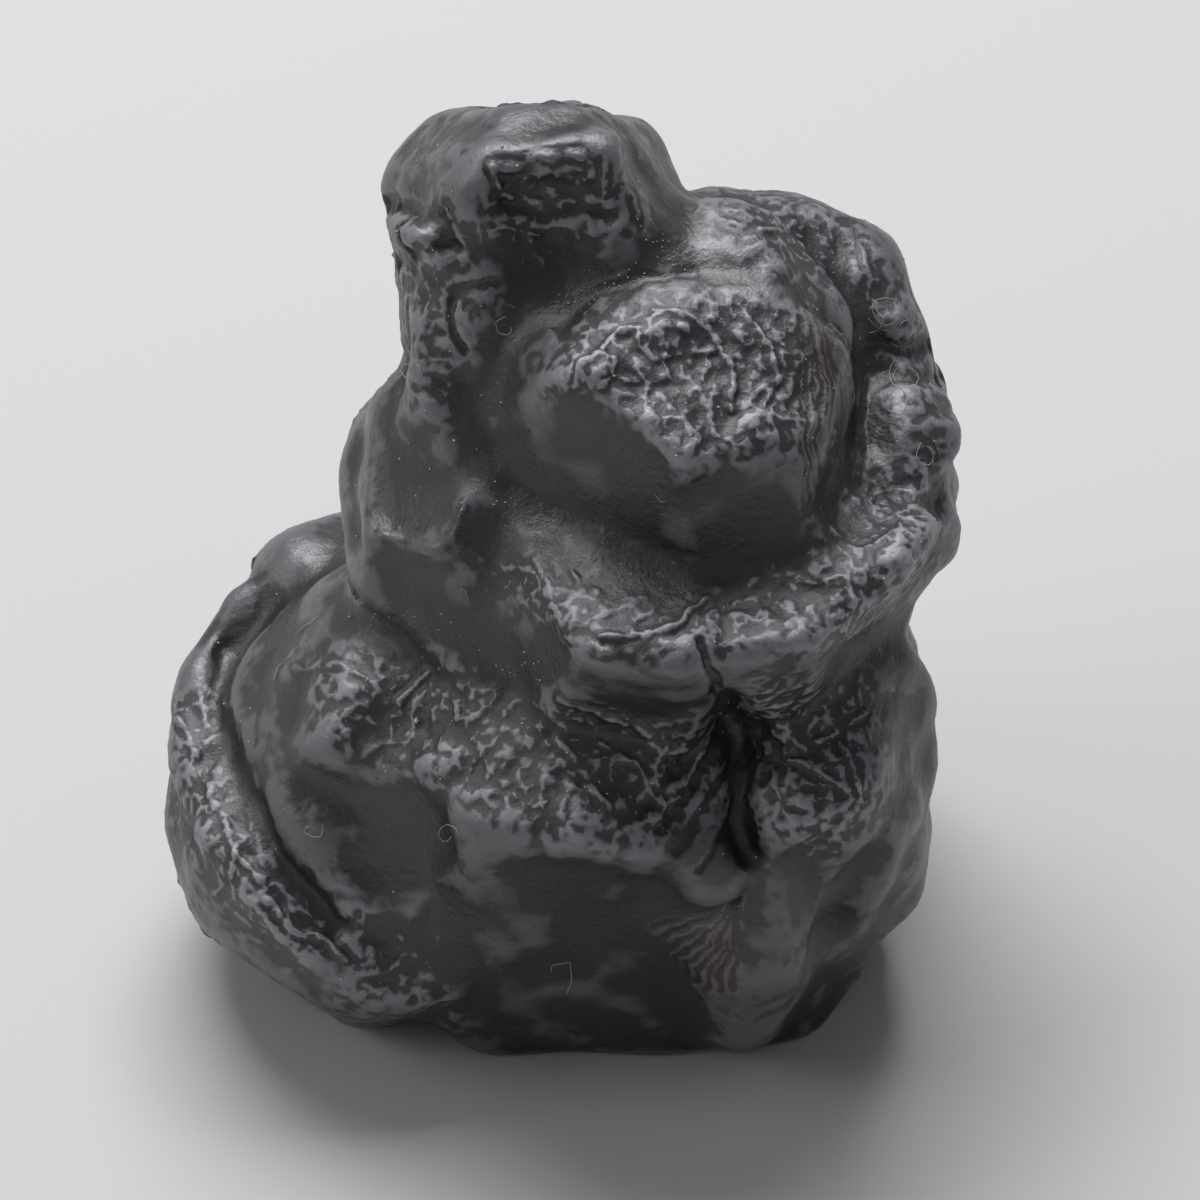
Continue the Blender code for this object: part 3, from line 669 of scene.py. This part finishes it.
lint_curve = bpy.data.curves.new("lint_fibres", "CURVE")
lint_curve.dimensions = "3D"
lint_curve.bevel_depth = LINT_RADIUS * MM
lint_curve.bevel_resolution = 1
lint_curve.use_fill_caps = True
for fibre in LINT_FIBRES:
    under = [nearest_seen(*place) for place in fibre_line(*fibre)]
    line = worn.at[under] + worn.facing[under] * LINT_LIFT
    for _ in range(LINT_SOFTENING):
        line[1:-1] = (line[:-2] + 2 * line[1:-1] + line[2:]) / 4
    spline = lint_curve.splines.new("POLY")
    spline.points.add(LINT_POINTS - 1)
    for point, spot in zip(spline.points, line):
        point.co = (*(spot * MM), 1)
lint_route = link_object("lint_route", lint_curve)
graph = bpy.context.evaluated_depsgraph_get()
lint_mesh = bpy.data.meshes.new_from_object(lint_route.evaluated_get(graph))
bpy.data.objects.remove(lint_route)
lint_mesh.materials.append(speckled_finish("pale_fibre", 1200, (0.38, 0.32, 0.31), (0.70, 0.64, 0.62), 0.6))
lint = link_object("lint_fibres", lint_mesh)
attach(lint, "root")

# The studio: a plain pale floor, a broad soft lamp above and behind the stone, a weak one at its
# left, a dim room, and the camera at the eye that the marks are drawn for. None of it is the stone.
FLOOR_SIDE = 3.0
FLOOR_TONE = (0.62, 0.61, 0.60)
LAMPS_AIM = Vector((0, 0, 0.02))
ROOM_TONE, ROOM_LIGHT = (0.80, 0.83, 0.90), 0.2
SENSOR_WIDTH = 36
bpy.ops.mesh.primitive_plane_add(size=FLOOR_SIDE, location=(0, 0, 0))
floor = bpy.context.object
floor.name = "floor"
floor_paint = bpy.data.materials.new("pale_floor")
floor_paint.use_nodes = True
floor_paint.node_tree.nodes["Principled BSDF"].inputs["Base Color"].default_value = (*FLOOR_TONE, 1)
floor_paint.node_tree.nodes["Principled BSDF"].inputs["Roughness"].default_value = 0.9
floor.data.materials.append(floor_paint)


def lamp(name, spot, size, power, colour):
    """A soft rectangular lamp that shines at the stone."""
    light = bpy.data.lights.new(name, "AREA")
    light.shape = "RECTANGLE"
    light.size, light.size_y = size
    light.energy = power
    light.color = colour
    holder = link_object(name, light)
    holder.location = spot
    holder.rotation_euler = (Vector(spot) - LAMPS_AIM).to_track_quat("Z", "Y").to_euler()


lamp("overhead", (-0.05, 0.22, 0.50), (0.40, 0.30), 3.2, (0.96, 0.97, 1.0))
lamp("left_fill", (-0.50, -0.10, 0.35), (0.3, 0.3), 0.7, (1.0, 0.98, 0.96))
room = bpy.data.worlds.new("room")
room.use_nodes = True
room.node_tree.nodes["Background"].inputs["Color"].default_value = (*ROOM_TONE, 1)
room.node_tree.nodes["Background"].inputs["Strength"].default_value = ROOM_LIGHT
bpy.context.scene.world = room

lens = bpy.data.cameras.new("camera")
lens.sensor_width = SENSOR_WIDTH
lens.lens = EYE_DISTANCE / (2 * GRID_MIDDLE * GRID_STEP) * SENSOR_WIDTH
lens.clip_start = 0.01
camera = link_object("camera", lens)
camera.location = Vector(EYE_AT * MM)
camera.rotation_euler = Vector(TOWARDS_EYE).to_track_quat("Z", "Y").to_euler()
bpy.context.scene.camera = camera
bpy.context.scene.view_settings.view_transform = "Standard"
